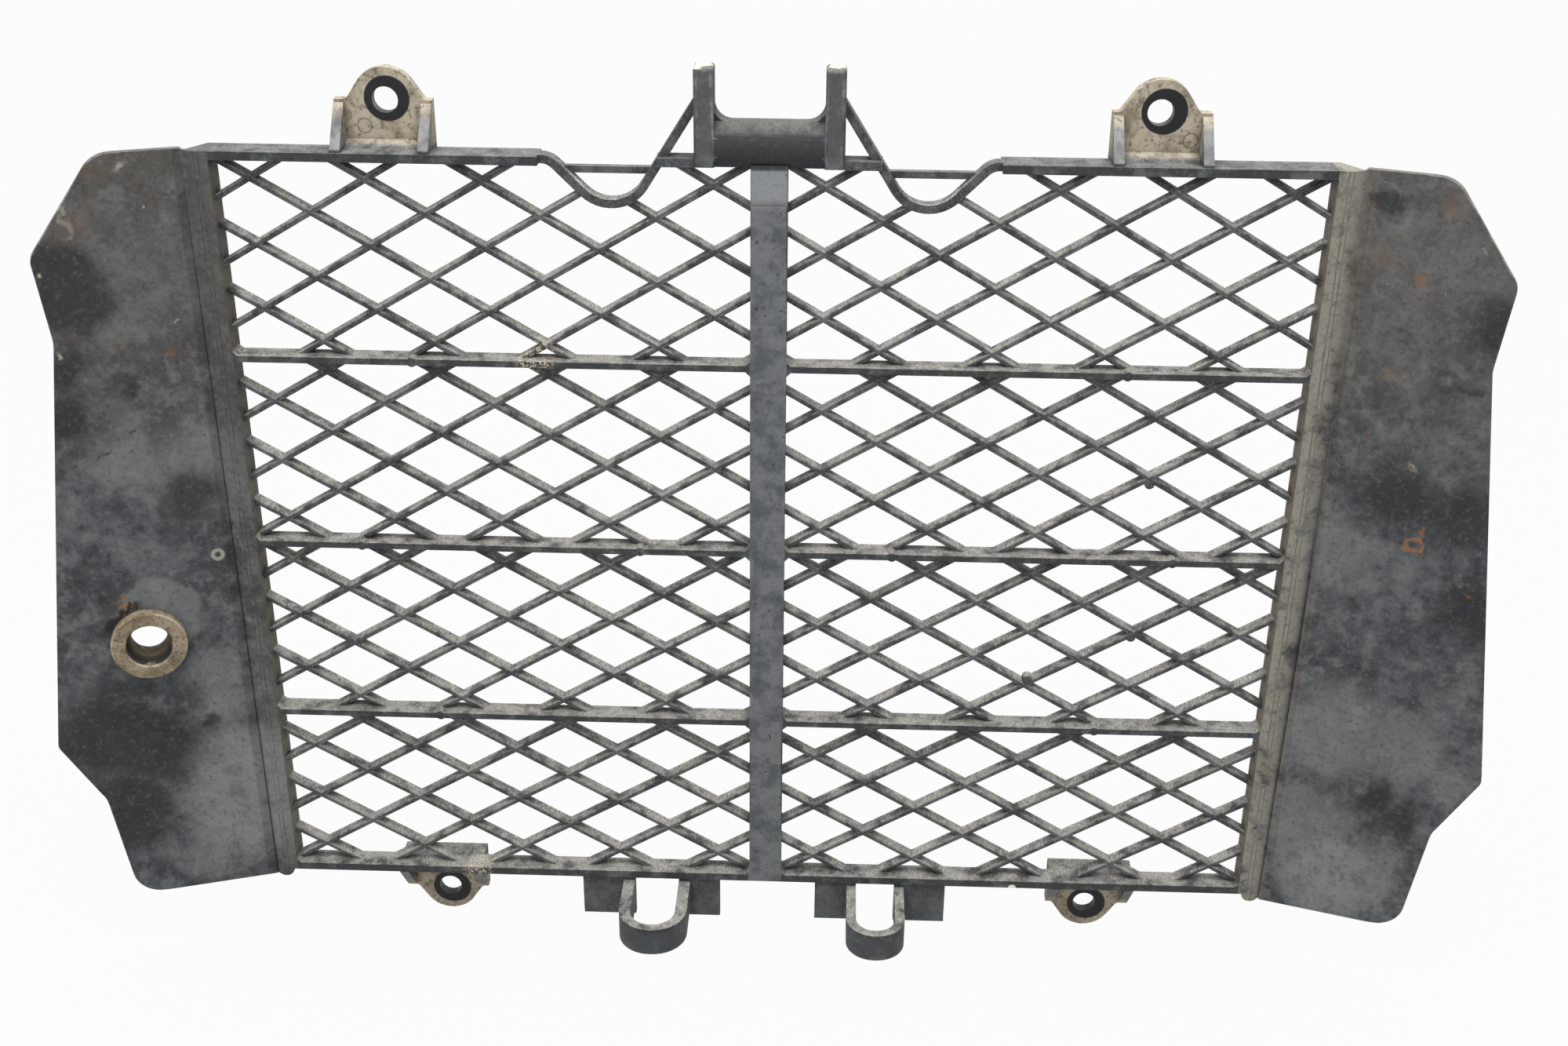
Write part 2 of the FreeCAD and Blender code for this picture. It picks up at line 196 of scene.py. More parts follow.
def post_edge(ends, turn):
    on_post = all(post_inner < abs(end.x) < post_outer and end.z > post_foot for end in ends)
    at_top = all(end.z > post_top - post_cap for end in ends)
    return turn > outward_turn and on_post and (on_front(ends, bar_front) or at_top)


def spine_edge(ends, turn):
    upright = all(abs(abs(end.x) - spine_half) < spine_slack for end in ends)
    return turn > outward_turn and upright and abs(ends[0].z - ends[1].z) > spine_least_run


def fold_edge(ends, turn):
    at_fold = all(abs(abs(end.x) - fold_x) < fold_slack for end in ends)
    return abs(turn) > fold_least_turn and on_front(ends, bar_front) and at_fold


fold_margin = 0.0032
beside_fold = (fold_x - fold_margin, fold_x + fold_margin)
rib_round = 0.0007
post_round = 0.0013
spine_round = 0.0006
fold_round = 0.003
wing_round = 0.0003
wing_room = 0.0007
wing_start = beside_fold[1] + 0.0005
round_steps = 3
fold_steps = 4
cover = joined_copy("radiator_cover", "cover_moulding", [side * x for side in (-1, 1) for x in beside_fold])
round_edges(cover, rib_front_edge, rib_round, round_steps)
round_edges(cover, post_edge, post_round, round_steps)
round_edges(cover, spine_edge, spine_round, round_steps)
round_edges(cover, fold_edge, fold_round, fold_steps)
soften(cover, wing_round, wing_room, wing_start)


def feed(socket, value):
    """Wires a node's output into a socket, or sets a plain value on it."""
    if isinstance(value, bpy.types.NodeSocket):
        socket.id_data.links.new(value, socket)
    else:
        socket.default_value = value


def add_node(tree, kind, *values, **settings):
    """A new node with its settings, its sockets filled in order."""
    node = tree.nodes.new("ShaderNode" + kind)
    for name, setting in settings.items():
        setattr(node, name, setting)
    for socket, value in zip(node.inputs, values):
        if value is not None:
            feed(socket, value)
    return node


def calc(tree, operation, *values):
    return add_node(tree, "Math", *values, operation=operation).outputs[0]


def all_of(tree, *masks):
    """Masks and strengths multiplied."""
    result = masks[0]
    for mask in masks[1:]:
        result = calc(tree, "MULTIPLY", result, mask)
    return result


def most_of(tree, *masks):
    """The strongest of several masks."""
    result = masks[0]
    for mask in masks[1:]:
        result = calc(tree, "MAXIMUM", result, mask)
    return result


def fade(tree, value, start, end):
    """0 at start and 1 at end, with a soft run between them."""
    node = add_node(tree, "MapRange", value, start, end, interpolation_type="SMOOTHSTEP")
    return node.outputs["Result"]


def gap_to(tree, value, middle):
    """How far a value lies from a middle one, on either side."""
    return calc(tree, "ABSOLUTE", calc(tree, "SUBTRACT", value, middle))


def mottle(tree, place, scale, detail=4.0, roughness=0.6, warp=0.0):
    """Noise between 0 and 1."""
    node = add_node(tree, "TexNoise", place)
    node.inputs["Scale"].default_value = scale
    node.inputs["Detail"].default_value = detail
    node.inputs["Roughness"].default_value = roughness
    node.inputs["Distortion"].default_value = warp
    return node.outputs["Fac"]


def coat(tree, mask, under, over):
    """One colour laid over another where the mask says."""
    node = add_node(tree, "Mix", data_type="RGBA")
    feed(node.inputs[0], mask)
    for socket, colour in ((node.inputs[6], under), (node.inputs[7], over)):
        feed(socket, colour if isinstance(colour, bpy.types.NodeSocket) else (*colour, 1.0))
    return node.outputs[2]


def blot(tree, place, point, radius, softness):
    """1 within a radius of a point, fading out over the softness."""
    away = add_node(tree, "VectorMath", place, point, operation="DISTANCE").outputs["Value"]
    return fade(tree, away, radius + softness, radius)


def circle_mark(tree, place, point, radius, width):
    """A thin ring at a radius from a point."""
    away = add_node(tree, "VectorMath", place, point, operation="DISTANCE").outputs["Value"]
    return fade(tree, gap_to(tree, away, radius), width, 0.3 * width)


def wing_point(side, out, rise):
    """A place on a wing's front face, in millimetres out from the fold and up from the middle bar."""
    reach = out / 1000.0
    across = side * (fold_x + reach * math.cos(fold_turn))
    return (across, bar_front - reach * math.sin(fold_turn), rise / 1000.0)


def scratch(tree, place, start, end, width):
    """A thin line from one point to another."""
    along = [b - a for a, b in zip(start, end)]
    length = sum(step * step for step in along)
    off = add_node(tree, "VectorMath", place, start, operation="SUBTRACT").outputs[0]
    run = add_node(tree, "VectorMath", off, along, operation="DOT_PRODUCT").outputs["Value"]
    run = add_node(tree, "Math", run, length, operation="DIVIDE", use_clamp=True).outputs[0]
    nearest = add_node(tree, "VectorMath", tuple(along), operation="SCALE")
    feed(nearest.inputs["Scale"], run)
    aside = add_node(tree, "VectorMath", off, nearest.outputs[0], operation="DISTANCE").outputs["Value"]
    return fade(tree, aside, width, 0.3 * width)


def turned(tree, place, degrees, stretch):
    """Coordinates turned in the plane of the lattice and drawn out along their first axis."""
    turn = (0.0, math.radians(degrees), 0.0)
    node = add_node(tree, "Mapping", place, None, turn, (1.0 / stretch, 1.0, 1.0))
    node.vector_type = "TEXTURE"
    return node.outputs[0]


def grain_relief(tree, shader, height):
    """A fine bump on a surface."""
    node = add_node(tree, "Bump")
    node.inputs["Strength"].default_value = 0.4
    node.inputs["Distance"].default_value = 0.0004
    feed(node.inputs["Height"], height)
    feed(shader.inputs["Normal"], node.outputs["Normal"])


def wing_stains(paint, stains, colour):
    """Lays stains on the wings: side, out, up, radius and softness in millimetres, and strength."""
    for side, out, rise, radius, softness, strength in stains:
        mask = blot(mix, ragged, wing_point(side, out, rise), radius / 1000.0, softness / 1000.0)
        paint = coat(mix, all_of(mix, mask, strength), paint, colour)
    return paint


plastic = cover.data.materials[0]
plastic.name = "weathered_plastic"
plastic.use_nodes = True
mix = plastic.node_tree
surface = mix.nodes["Principled BSDF"]
place = add_node(mix, "TexCoord").outputs["Object"]
facing = add_node(mix, "NewGeometry").outputs["True Normal"]
spot_x, spot_y, spot_z = add_node(mix, "SeparateXYZ", place).outputs
face_x, face_y, face_z = add_node(mix, "SeparateXYZ", facing).outputs
aside = calc(mix, "ABSOLUTE", spot_x)

cloud = mottle(mix, place, 42.0, 3.0, 0.6)
blotch = mottle(mix, place, 150.0, 4.0, 0.66)
speck = mottle(mix, place, 520.0, 2.0, 0.7)
grit = mottle(mix, place, 1300.0, 2.0, 0.7)
streak_up = mottle(mix, turned(mix, place, 30.6, 12.0), 560.0, 3.0, 0.65)
streak_down = mottle(mix, turned(mix, place, -30.6, 12.0), 560.0, 3.0, 0.65)
streak = most_of(mix, streak_up, streak_down)
drift = add_node(mix, "TexNoise", place)
drift.inputs["Scale"].default_value = 85.0
drift.inputs["Detail"].default_value = 3.0
drift.inputs["Roughness"].default_value = 0.65
shift = add_node(mix, "VectorMath", drift.outputs["Color"], (0.5, 0.5, 0.5), operation="SUBTRACT")
shift = add_node(mix, "VectorMath", shift.outputs[0], operation="SCALE")
shift.inputs["Scale"].default_value = 0.014
ragged = add_node(mix, "VectorMath", place, shift.outputs[0], operation="ADD").outputs[0]

on_wing = fade(mix, aside, 0.1694, 0.1698)
off_wing = calc(mix, "SUBTRACT", 1.0, on_wing)
facing_up = fade(mix, face_z, 0.30, 0.70)
looking_out = fade(mix, face_y, -0.5, -0.8)
on_top = fade(mix, spot_z, 0.1255, 0.1275)
rubbed = add_node(mix, "Attribute", attribute_name="rubbed_edge").outputs["Fac"]

# Bare plastic of the wings: charcoal, clouded and speckled, browner above and bluer below.
charcoal = coat(mix, fade(mix, cloud, 0.36, 0.64), (0.052, 0.055, 0.060), (0.104, 0.108, 0.115))
charcoal = coat(mix, all_of(mix, fade(mix, blotch, 0.48, 0.68), 0.85), charcoal, (0.158, 0.162, 0.166))
charcoal = coat(mix, all_of(mix, fade(mix, blotch, 0.50, 0.34), 0.85), charcoal, (0.038, 0.039, 0.043))
charcoal = coat(mix, all_of(mix, fade(mix, spot_z, 0.02, 0.10), 0.42), charcoal, (0.145, 0.130, 0.106))
charcoal = coat(mix, all_of(mix, fade(mix, speck, 0.66, 0.80), 0.5), charcoal, (0.030, 0.030, 0.032))
charcoal = coat(mix, all_of(mix, fade(mix, grit, 0.66, 0.76), 0.35), charcoal, (0.30, 0.29, 0.27))

# Ribs, bars and spine are scuffed in streaks along the ribs, and the front faces of the bars carry painted
# shade.
scuffed_and_shaded = coat(mix, fade(mix, blotch, 0.38, 0.66), (0.038, 0.040, 0.043), (0.105, 0.111, 0.115))
scuffed_and_shaded = coat(mix, all_of(mix, fade(mix, streak, 0.57, 0.70), 0.85), scuffed_and_shaded, (0.25, 0.255, 0.25))
scuffed_and_shaded = coat(mix, all_of(mix, fade(mix, speck, 0.62, 0.74), 0.5), scuffed_and_shaded, (0.028, 0.029, 0.031))
on_spine = all_of(mix, fade(mix, aside, 0.0062, 0.0056), fade(mix, spot_z, 0.1295, 0.1285))
spine_tone = coat(mix, fade(mix, blotch, 0.35, 0.62), (0.095, 0.104, 0.110), (0.175, 0.185, 0.190))
spine_tone = coat(mix, fade(mix, spot_z, 0.116, 0.121), spine_tone, (0.27, 0.285, 0.30))
spine_tone = coat(mix, all_of(mix, fade(mix, speck, 0.64, 0.74), 0.8), spine_tone, (0.030, 0.031, 0.033))
# The front faces of the bars are darkened in blotches: painted shade, darker than the dusty tops under the
# light from above.
on_bar = all_of(mix, looking_out, fade(mix, spot_y, bar_front + 0.0006, bar_front + 0.0003))
scuffed_and_shaded = coat(mix, all_of(mix, on_bar, fade(mix, blotch, 0.68, 0.42), 0.9), scuffed_and_shaded, (0.040, 0.042, 0.045))
on_yoke = all_of(mix, fade(mix, aside, 0.0170, 0.0164), fade(mix, spot_z, 0.1290, 0.1300))
scuffed_and_shaded = coat(mix, all_of(mix, on_yoke, 0.92), scuffed_and_shaded, (0.040, 0.041, 0.045))
on_loop = fade(mix, spot_z, -0.1340, -0.1360)
scuffed_and_shaded = coat(mix, all_of(mix, on_loop, 0.25), scuffed_and_shaded, (0.125, 0.13, 0.135))
post_middle = (post_inner + post_outer) / 2.0
on_post = all_of(mix, fade(mix, gap_to(mix, aside, post_middle), 0.0033, 0.0030), on_top)
scuffed_and_shaded = coat(mix, all_of(mix, on_post, 0.35), scuffed_and_shaded, (0.17, 0.175, 0.18))
scuffed_and_shaded = coat(mix, all_of(mix, on_spine, looking_out), scuffed_and_shaded, spine_tone)
paint = coat(mix, off_wing, charcoal, scuffed_and_shaded)

# Patches on the wings, darker or paler than the rest: side, out, up, radius and softness in millimetres.
dark_patches = ((-1, 42, 92, 11, 8), (-1, 33, 86, 3, 7), (-1, 43, 66, 3, 8), (-1, 25, 60, 1, 5))
dark_patches += ((-1, 46, 50, 3, 7), (-1, 50, -66, 10, 16), (-1, 34, -74, 8, 16), (-1, 48, -98, 10, 14))
dark_patches += ((-1, 14, -67, 1.5, 4), (-1, 12, 18, 4, 10), (1, 8, 122, 3, 4), (1, 46, 24, 5, 14))
dark_patches += ((1, 46, 88, 4, 12), (1, 24, 30, 5, 14), (1, 33, -84, 3, 6), (1, 43, -90, 3, 7))
dark_patches += ((1, 52, -6, 5, 12),)
pale_patches = ((-1, 5, -92, 16, 12), (-1, 22, -122, 4, 10), (-1, 4, -98, 14, 16), (-1, 10, -60, 4, 12))
pale_patches += ((-1, 18, -112, 5, 10), (-1, 8, 28, 8, 16), (-1, 12, -48, 3, 12), (-1, 27, -22, 11.5, 3.5))
pale_patches += ((-1, 30, 33, 4, 12), (1, 8, 8, 6, 12), (1, 16, -60, 10, 16), (1, 14, -100, 8, 14))
pale_patches += ((1, 34, -112, 6, 12), (1, 40, -60, 6, 14), (1, 56, -72, 3, 8), (1, 24, -119, 12, 12))
pale_patches += ((1, 12, 118, 1, 8),)
pale_tone = (0.215, 0.225, 0.23)
dark_tone = (0.024, 0.025, 0.028)
for patches, tone, strength in ((pale_patches, pale_tone, 0.55), (dark_patches, dark_tone, 0.86)):
    masks = [blot(mix, ragged, wing_point(side, out, rise), radius / 1000.0, softness / 1000.0)
             for side, out, rise, radius, softness in patches]
    paint = coat(mix, all_of(mix, most_of(mix, *masks), on_wing, strength), paint, tone)
bleached = most_of(mix, blot(mix, ragged, wing_point(-1, 2, -98), 0.014, 0.020),
                   blot(mix, ragged, wing_point(1, 24, -118), 0.009, 0.014))
bleached = all_of(mix, bleached, fade(mix, blotch, 0.30, 0.55), on_wing, 0.55)
paint = coat(mix, bleached, paint, (0.27, 0.275, 0.27))
scrapes = all_of(mix, on_wing, fade(mix, blotch, 0.46, 0.60))
paint = coat(mix, all_of(mix, scrapes, fade(mix, streak_up, 0.60, 0.70), 0.55), paint, (0.21, 0.205, 0.19))
dark_scrapes = all_of(mix, on_wing, fade(mix, streak_down, 0.60, 0.70), 0.55)
paint = coat(mix, dark_scrapes, paint, (0.035, 0.035, 0.036))

# Tan road dust on whatever looks up, in the ears and along the right fold.
dust = fade(mix, blotch, 0.28, 0.60)
along = add_node(mix, "Mix", fade(mix, face_x, -0.05, 0.05))
feed(along.inputs[2], streak_up)
feed(along.inputs[3], streak_down)
dust_tone = coat(mix, fade(mix, along.outputs[0], 0.38, 0.62), (0.20, 0.20, 0.19), (0.56, 0.535, 0.475))
thin_dust = add_node(mix, "MapRange", on_top, 0.0, 1.0, 0.85, 0.25).outputs["Result"]
paint = coat(mix, all_of(mix, facing_up, dust, thin_dust), paint, dust_tone)
dry_mud = fade(mix, blotch, 0.26, 0.56)
right_fold = all_of(mix, fade(mix, spot_x, 0.1694, 0.1698), fade(mix, spot_x, 0.1830, 0.1715))
paint = coat(mix, all_of(mix, right_fold, dry_mud, 0.95), paint, (0.30, 0.28, 0.23))
left_fold = all_of(mix, fade(mix, spot_x, -0.1694, -0.1698), fade(mix, spot_x, -0.1780, -0.1702))
paint = coat(mix, all_of(mix, left_fold, dry_mud, 0.3), paint, (0.15, 0.14, 0.115))
on_wall = all_of(mix, fade(mix, calc(mix, "ABSOLUTE", face_x), 0.6, 0.9), fade(mix, aside, 0.1690, 0.1696))
on_wall = all_of(mix, on_wall, fade(mix, aside, 0.1706, 0.1700))
paint = coat(mix, all_of(mix, on_wall, dry_mud, 0.7), paint, (0.21, 0.175, 0.13))
on_strip = all_of(mix, fade(mix, spot_x, -0.1692, -0.1697), fade(mix, spot_x, -0.1790, -0.1760))
paint = coat(mix, all_of(mix, on_strip, fade(mix, spot_z, 0.0, 0.05), 0.4), paint, (0.055, 0.055, 0.054))
at_ear = fade(mix, calc(mix, "ABSOLUTE", spot_z), 0.1322, 0.1335)
at_ear = all_of(mix, at_ear, fade(mix, gap_to(mix, aside, 0.1177), 0.022, 0.020))
on_plate = all_of(mix, at_ear, fade(mix, spot_y, -0.0080, -0.0045))
gusset_tone = coat(mix, fade(mix, blotch, 0.35, 0.62), (0.14, 0.14, 0.14), (0.275, 0.275, 0.275))
paint = coat(mix, all_of(mix, at_ear, 0.9), paint, gusset_tone)
plate_tone = coat(mix, fade(mix, blotch, 0.30, 0.58), (0.25, 0.21, 0.15), (0.50, 0.44, 0.34))
plate_tone = coat(mix, all_of(mix, fade(mix, speck, 0.53, 0.66), 0.75), plate_tone, (0.13, 0.11, 0.082))
paint = coat(mix, on_plate, paint, plate_tone)

# Fine grain over everything.
grain = mottle(mix, place, 560.0, 4.0, 0.75)
roughened = add_node(mix, "MapRange", on_wing, 0.0, 1.0, 0.5, 1.0).outputs["Result"]
paint = coat(mix, all_of(mix, fade(mix, grain, 0.52, 0.72), roughened, 0.30), paint, (0.23, 0.23, 0.225))
paint = coat(mix, all_of(mix, fade(mix, grain, 0.50, 0.30), roughened, 0.45), paint, (0.022, 0.022, 0.023))

# Flanges of the bolts have kept a clean black ring round each hole, a little off its centre.
ring_shifts = ((0.6, -0.5), (0.6, 0.4), (0.8, -0.4), (1.1, 0.3))
ring_centres = [(x + sideways / 1000.0, ear_face, z + upwards / 1000.0)
                for (x, z), (sideways, upwards) in zip(ear_places, ring_shifts)]
rings = most_of(mix, *[blot(mix, place, centre, 0.0068, 0.0003) for centre in ring_centres])
paint = coat(mix, rings, paint, (0.014, 0.014, 0.016))

# Rust stains on the wings.
rust = ((1, 21.3, 101.3, 0.6, 2.6, 0.5), (1, 16.8, 70.3, 0.4, 2.4, 0.4), (1, 4.9, 120.5, 0.4, 2.6, 0.3))
rust += ((1, 12.8, 48.6, 0.3, 1.6, 0.6), (1, 25.7, 123.6, 0.5, 4.0, 0.22), (1, 11.0, 107.0, 0.8, 4.5, 0.20))
rust += ((-1, 24.1, 72.7, 0.5, 2.0, 0.35), (-1, 13.7, 68.4, 0.6, 2.4, 0.4), (-1, 27.0, 128.0, 1.0, 5.0, 0.12))
rust += ((-1, 33.0, 113.0, 1.0, 5.0, 0.12), (1, 33.0, 18.0, 0.5, 1.4, 0.7), (1, 49.0, 2.0, 0.3, 1.5, 0.5))
paint = wing_stains(paint, rust, (0.27, 0.125, 0.055))
rust_ring = circle_mark(mix, ragged, wing_point(1, 30.6, 14.1), 0.0026, 0.0011)
paint = coat(mix, all_of(mix, rust_ring, 0.8), paint, (0.27, 0.13, 0.065))

# Cream chips and drops, where something struck or dripped.
cream = ((-1, 36.9, 116.8, 1.2, 0.9, 0.35), (-1, 20.1, 129.2, 1.0, 1.6, 0.55))
cream += ((-1, 19.9, 116.4, 0.25, 0.4, 0.8),)
cream += ((-1, 14.2, 116.4, 0.25, 0.4, 0.8), (-1, 46.7, 96.0, 0.5, 0.9, 0.7), (-1, 44.1, 71.6, 0.5, 0.8, 0.6))
cream += ((1, 11.0, 97.0, 0.4, 0.7, 0.7), (1, 29.0, 99.0, 0.4, 0.8, 0.7), (1, 38.0, 110.5, 0.5, 1.2, 0.5))
cream += ((-1, 64.3, -65.2, 0.3, 0.6, 0.8), (1, 27.5, 41.0, 0.3, 1.2, 0.5))
cream += ((-1, 4.5, 98.0, 0.5, 1.2, 0.4), (-1, 9.0, 80.0, 0.3, 0.9, 0.5), (-1, 11.0, 92.0, 0.2, 0.7, 0.6))
paint = wing_stains(paint, cream, (0.50, 0.46, 0.36))
drip = scratch(mix, ragged, wing_point(-1, 36.9, 116.5), wing_point(-1, 35.6, 108.5), 0.0015)
paint = coat(mix, all_of(mix, drip, 0.35), paint, (0.42, 0.38, 0.29))
crater = circle_mark(mix, place, wing_point(-1, 5.8, -3.5), 0.0016, 0.0010)
paint = coat(mix, all_of(mix, crater, 0.75), paint, (0.40, 0.38, 0.33))
crusts = ((-0.0738, -0.0125, 0.0675, 0.007), (-0.1655, -0.010, -0.088, 0.004))
crusts += ((-0.104, -0.0135, -0.128, 0.006),)
crust = most_of(mix, *[blot(mix, place, (x, y, z), 0.6 * reach, 0.6 * reach) for x, y, z, reach in crusts])
paint = coat(mix, all_of(mix, crust, fade(mix, grit, 0.50, 0.58), 0.9), paint, (0.62, 0.53, 0.40))
grommet_front = wing_point(-1, 31.4, -32.6)
torn = all_of(mix, circle_mark(mix, ragged, grommet_front, 0.0144, 0.0020),
              blot(mix, place, wing_point(-1, 40, -21), 0.006, 0.004))
paint = coat(mix, torn, paint, (0.022, 0.020, 0.019))
crumbs = all_of(mix, blot(mix, ragged, wing_point(-1, 38, -18.5), 0.002, 0.004), fade(mix, speck, 0.52, 0.60))
paint = coat(mix, crumbs, paint, (0.26, 0.13, 0.06))
bar_chip = blot(mix, place, (0.0889, bar_front, -0.1322), 0.0012, 0.0004)
paint = coat(mix, bar_chip, paint, (0.85, 0.78, 0.62))
for side in (-1, 1):
    tip = blot(mix, ragged, (side * 0.0196, bar_front + 0.004, post_top), 0.0030, 0.0012)
    paint = coat(mix, all_of(mix, tip, facing_up), paint, (0.78, 0.68, 0.50))

# Faint rings left by the mould's ejector pins, and scratches.
large_pins = [wing_point(-1, 5.5, 122.6), wing_point(-1, 4.6, 63.3), wing_point(1, 6.5, 125.0)]
large_pins += [(0.0, bar_front, 0.0573)]
small_pins = [wing_point(-1, 45.1, 5.2), wing_point(-1, 28.9, -93.3)]
pin_marks = [circle_mark(mix, place, point, 0.0046, 0.00022) for point in large_pins]
pin_marks += [circle_mark(mix, place, point, 0.0020, 0.00020) for point in small_pins]
pin_rings = most_of(mix, *pin_marks)
ear_pin_places = [(-0.1238, ear_face, 0.138), (0.1267, ear_face, 0.1376)]
ear_pins = [circle_mark(mix, place, point, 0.0022, 0.00026) for point in ear_pin_places]
paint = coat(mix, all_of(mix, most_of(mix, *ear_pins), 0.75), paint, (0.07, 0.058, 0.042))
broken = fade(mix, blotch, 0.40, 0.56)
paint = coat(mix, all_of(mix, pin_rings, broken, 0.35), paint, (0.25, 0.25, 0.245))
scratches = ((-1, 39.7, 33.6, 27.4, 43.8, 0.9), (-1, 30.6, -102.9, 19.3, -104.1, 0.35))
scratches += ((1, 43.0, 11.4, 51.5, -45.0, 0.3), (1, 36.0, 67.5, 43.0, 65.0, 1.6))
scratches += ((1, 27.0, 41.0, 28.5, 38.0, 0.5),)
scratches += ((1, 33.0, -79.0, 29.0, -86.0, 0.5), (1, 29.0, -86.0, 35.0, -93.0, 0.4))
scratches += ((-1, 47.0, -11.0, 44.0, -15.0, 0.8),)
lines = all_of(mix, circle_mark(mix, ragged, wing_point(1, 33.0, 70.0), 0.0036, 0.0020), 0.6)
for side, out, rise, out_end, rise_end, width in scratches:
    start = wing_point(side, out, rise)
    end = wing_point(side, out_end, rise_end)
    lines = most_of(mix, lines, scratch(mix, ragged, start, end, width / 1000.0))
# Two dark lines along each fold are painted shade, standing in for fine grooves that are not modelled.
fold_groove_shade = most_of(mix, fade(mix, gap_to(mix, aside, 0.1727), 0.00028, 0.00010),
                    fade(mix, gap_to(mix, aside, 0.1741), 0.0002, 0.00008))
fold_groove_shade = all_of(mix, fold_groove_shade, looking_out)
paint = coat(mix, all_of(mix, lines, 0.7), paint, (0.030, 0.029, 0.030))
paint = coat(mix, all_of(mix, fold_groove_shade, broken, 0.6), paint, (0.035, 0.034, 0.034))

# Painted shade with some grime, near black in the corners, and rubbed edges that show paler plastic in
# places.
corner = add_node(mix, "AmbientOcclusion", samples=2, only_local=True)
corner.inputs["Distance"].default_value = 0.0035
# Corners that the ambient occlusion finds closed in are painted near black: painted shade, with some grime.
paint = coat(mix, all_of(mix, fade(mix, corner.outputs["AO"], 0.80, 0.30), 0.7), paint, (0.024, 0.023, 0.022))
rubbed_pale = all_of(mix, rubbed, looking_out, fade(mix, blotch, 0.42, 0.62), 0.45)
paint = coat(mix, rubbed_pale, paint, (0.30, 0.30, 0.295))
feed(surface.inputs["Base Color"], paint)
matt = add_node(mix, "MapRange", blotch, 0.3, 0.7, 0.58, 0.85).outputs["Result"]
feed(surface.inputs["Roughness"], calc(mix, "SUBTRACT", matt, all_of(mix, rings, 0.3)))
surface.inputs["Specular IOR Level"].default_value = 0.22
grain_relief(mix, surface, calc(mix, "ADD", all_of(mix, speck, 0.6), all_of(mix, pin_rings, 0.25)))

# Ejector pads are short round stubs across the bars and at some crossings of the ribs, where the mould's pins
# pushed the cover out. They are moulded with it, in the same plastic, and one stub is copied to each spot.
pad_radius = 0.00165
pad_sides = 28
pad_rim = 0.0003
pad_proud = 0.00003
bar_pads = [(x, z) for z in (0.0654, -0.0654) for x in (-0.1129, 0.1129)]
bar_pads += [(x, 0.0) for x in (-0.1346, -0.0420, 0.0412, 0.1333)]
rib_pads = [(0.1238, 0.0268), (0.1228, -0.0300), (0.0892, -0.0476)]
pad_back = bar_front + 0.0070


def first_pad(front):
    """One stub with rounded rims, standing at the middle of the cover."""
    middle = (0.0, (front + pad_back) / 2.0 - pad_proud, 0.0)
    quarter = math.radians(90.0)
    bpy.ops.mesh.primitive_cylinder_add(vertices=pad_sides, radius=pad_radius, depth=pad_back - front,
                                        location=middle, rotation=(quarter, 0.0, 0.0))
    bpy.ops.object.mode_set(mode="EDIT")
    bpy.ops.mesh.select_all(action="SELECT")
    bpy.ops.mesh.bevel(offset=pad_rim, segments=2, affect="EDGES")
    bpy.ops.object.mode_set(mode="OBJECT")
    return bpy.context.active_object


def copies(first, spots):
    """Moves the first stub to its spot and puts a copy, with a mesh of its own, on each of the others."""
    pieces = [first]
    for spot in spots[1:]:
        bpy.ops.object.select_all(action="DESELECT")
        first.select_set(True)
        bpy.context.view_layer.objects.active = first
        bpy.ops.object.duplicate(linked=False)
        pieces.append(bpy.context.active_object)
    for piece, (x, z) in zip(pieces, spots):
        piece.location.x = x
        piece.location.z = z
    return pieces


pads = copies(first_pad(bar_front), bar_pads) + copies(first_pad(rib_front), rib_pads)
bpy.ops.object.select_all(action="DESELECT")
for pad in pads:
    pad.select_set(True)
bpy.context.view_layer.objects.active = pads[0]
bpy.ops.object.join()
stubs = bpy.context.active_object
stubs.name = "ejector_pads"
bpy.ops.object.transform_apply(location=True, rotation=True, scale=True)
bpy.ops.object.shade_smooth_by_angle(angle=sharp_edge)
stubs.data.materials.clear()
stubs.data.materials.append(plastic)
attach(stubs, "root")

# The grommet is a flanged rubber bush pressed through the left wing, with an open bore.
# The rubber is dark, under a film of dried tan mud. The front of the bore inside the mouth is painted near
# black: partly bare rubber where the mud is rubbed off, partly painted shade.
grommet = joined_copy("wing_grommet", "grommet_bush")
grommet_round = 0.0005
soften(grommet, grommet_round, 0.0, 0.0)
mouth_radius = 0.0075
rubber = grommet.data.materials[0]
rubber.name = "dusty_rubber"
rubber.use_nodes = True
film = rubber.node_tree
skin = film.nodes["Principled BSDF"]
here = add_node(film, "TexCoord").outputs["Object"]
smear = mottle(film, here, 190.0, 5.0, 0.65, 0.3)
pits = mottle(film, here, 900.0, 3.0, 0.7)
mud_and_shade = coat(film, fade(film, smear, 0.35, 0.65), (0.16, 0.122, 0.076), (0.34, 0.275, 0.185))
mud_and_shade = coat(film, fade(film, pits, 0.54, 0.66), mud_and_shade, (0.085, 0.066, 0.044))
rim = add_node(film, "Attribute", attribute_name="rubbed_edge").outputs["Fac"]
mud_and_shade = coat(film, all_of(film, rim, fade(film, smear, 0.40, 0.60), 0.6), mud_and_shade, (0.50, 0.43, 0.33))
inward = (-math.sin(fold_turn), math.cos(fold_turn), 0.0)
off_seat = add_node(film, "VectorMath", here, grommet_front, operation="SUBTRACT").outputs[0]
depth = add_node(film, "VectorMath", off_seat, inward, operation="DOT_PRODUCT").outputs["Value"]
off_axis = add_node(film, "VectorMath", off_seat, inward, operation="CROSS_PRODUCT").outputs[0]
off_axis = add_node(film, "VectorMath", off_axis, operation="LENGTH").outputs["Value"]
near_bore = fade(film, off_axis, mouth_radius + 0.0006, mouth_radius + 0.0002)
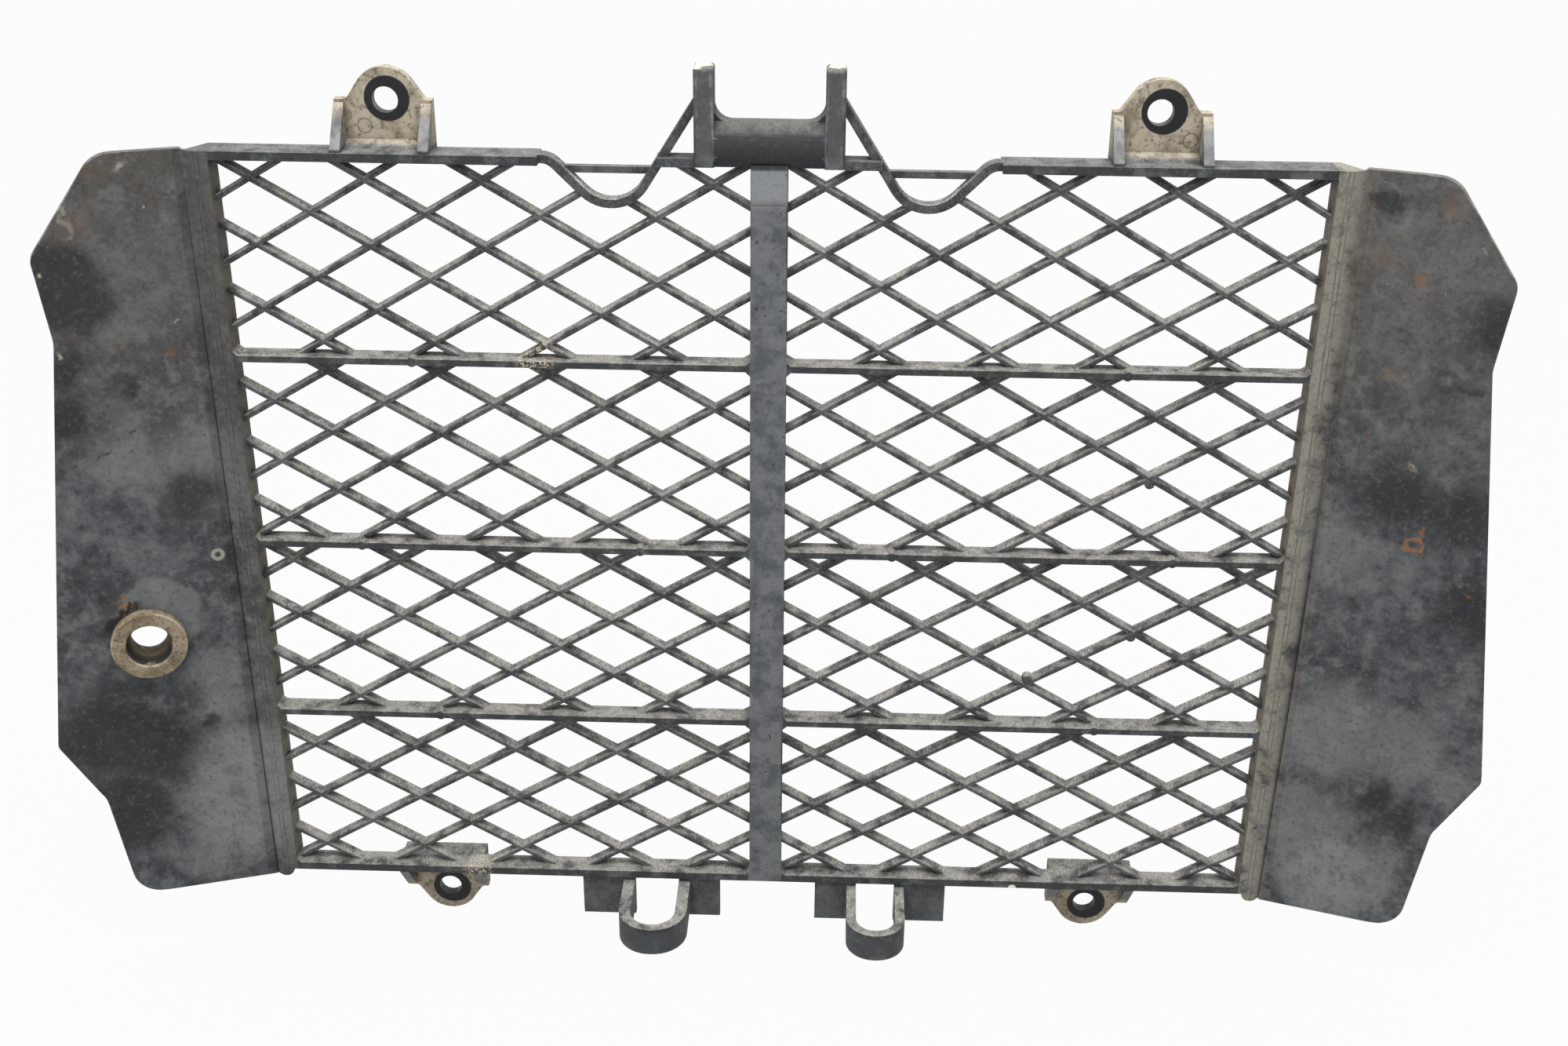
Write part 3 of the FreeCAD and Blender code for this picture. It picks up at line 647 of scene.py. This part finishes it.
in_mouth = all_of(film, near_bore, fade(film, depth, -0.0034, -0.0026))
# Painted shade and bare rubber: the front of the bore is near black.
mud_and_shade = coat(film, all_of(film, in_mouth, fade(film, smear, 0.75, 0.52)), mud_and_shade, (0.018, 0.017, 0.016))
on_lip = all_of(film, in_mouth, fade(film, depth, 0.0010, 0.0014), fade(film, depth, 0.0060, 0.0030))
mud_and_shade = coat(film, all_of(film, on_lip, 0.85), mud_and_shade, (0.13, 0.092, 0.052))
feed(skin.inputs["Base Color"], mud_and_shade)
skin.inputs["Roughness"].default_value = 0.8
grain_relief(film, skin, smear)

# The stand: a plain white floor under the lowest loop, which keeps a soft shadow of the cover.
# To the camera and in reflections it is nearly pure white, as in the photograph.
floor_size = 14.0
floor_glow = 0.96


def seen_directly(tree):
    """1 for rays that show a surface, straight or in a reflection, and 0 for those that only carry light."""
    path = add_node(tree, "LightPath")
    kinds = ("Is Camera Ray", "Is Glossy Ray", "Is Transmission Ray")
    return most_of(tree, *[path.outputs[kind] for kind in kinds])


bpy.ops.object.select_all(action="DESELECT")
bpy.ops.mesh.primitive_plane_add(size=floor_size, location=(0.0, 0.0, cad_box[0][2]))
floor = bpy.context.active_object
floor.name = "floor"
paper = bpy.data.materials.new("white_paper")
paper.use_nodes = True
floor.data.materials.append(paper)
sheet = paper.node_tree
plain = sheet.nodes["Principled BSDF"]
plain.inputs["Base Color"].default_value = (0.35, 0.35, 0.35, 1.0)
plain.inputs["Roughness"].default_value = 0.9
glow = add_node(sheet, "Emission", (1.0, 1.0, 1.0, 1.0))
share = all_of(sheet, seen_directly(sheet), floor_glow)
blend = add_node(sheet, "MixShader", share, plain.outputs[0], glow.outputs[0])
sheet.links.new(blend.outputs[0], sheet.nodes["Material Output"].inputs["Surface"])

# Soft studio light: a wide panel above, weaker ones in front and behind, and an even white room.
# Each lamp has a name, a place and a width in metres and a power in watts.
lamps = (("top_panel", (0.0, -0.30, 1.5), 1.6, 42.0), ("front_panel", (-0.4, -1.6, 0.7), 1.4, 8.0),
         ("back_panel", (0.5, 1.6, 0.6), 1.4, 5.0))
for name, spot, size, power in lamps:
    bpy.ops.object.light_add(type="AREA", location=spot)
    lamp = bpy.context.active_object
    lamp.name = name
    lamp.data.shape = "SQUARE"
    lamp.data.size = size
    lamp.data.energy = power
    aim = -lamp.location.normalized()
    lamp.rotation_euler = aim.to_track_quat("-Z", "Y").to_euler()
world = bpy.data.worlds.new("white_room")
bpy.context.scene.world = world
world.use_nodes = True
room = world.node_tree
backdrop = room.nodes["Background"]
backdrop.inputs["Color"].default_value = (1.0, 1.0, 1.0, 1.0)
level = add_node(room, "MapRange", seen_directly(room), 0.0, 1.0, 0.22, 1.0).outputs["Result"]
feed(backdrop.inputs["Strength"], level)

# The camera stands in front of the cover, a little above it, and looks down at 26 degrees.
bpy.ops.object.camera_add()
camera = bpy.context.active_object
camera.data.sensor_width = 36.0
camera.data.lens = 43.22
camera.data.shift_y = 0.0008
right = (0.9995, 0.0316, 0.0093)
upward = (-0.0222, 0.4398, 0.8978)
backward = (0.0243, -0.8975, 0.4403)
eye = (0.0205, -0.5677, 0.28267)
rows = [list(row) for row in zip(right, upward, backward, eye)]
camera.matrix_world = Matrix(rows + [[0.0, 0.0, 0.0, 1.0]])
bpy.context.scene.camera = camera
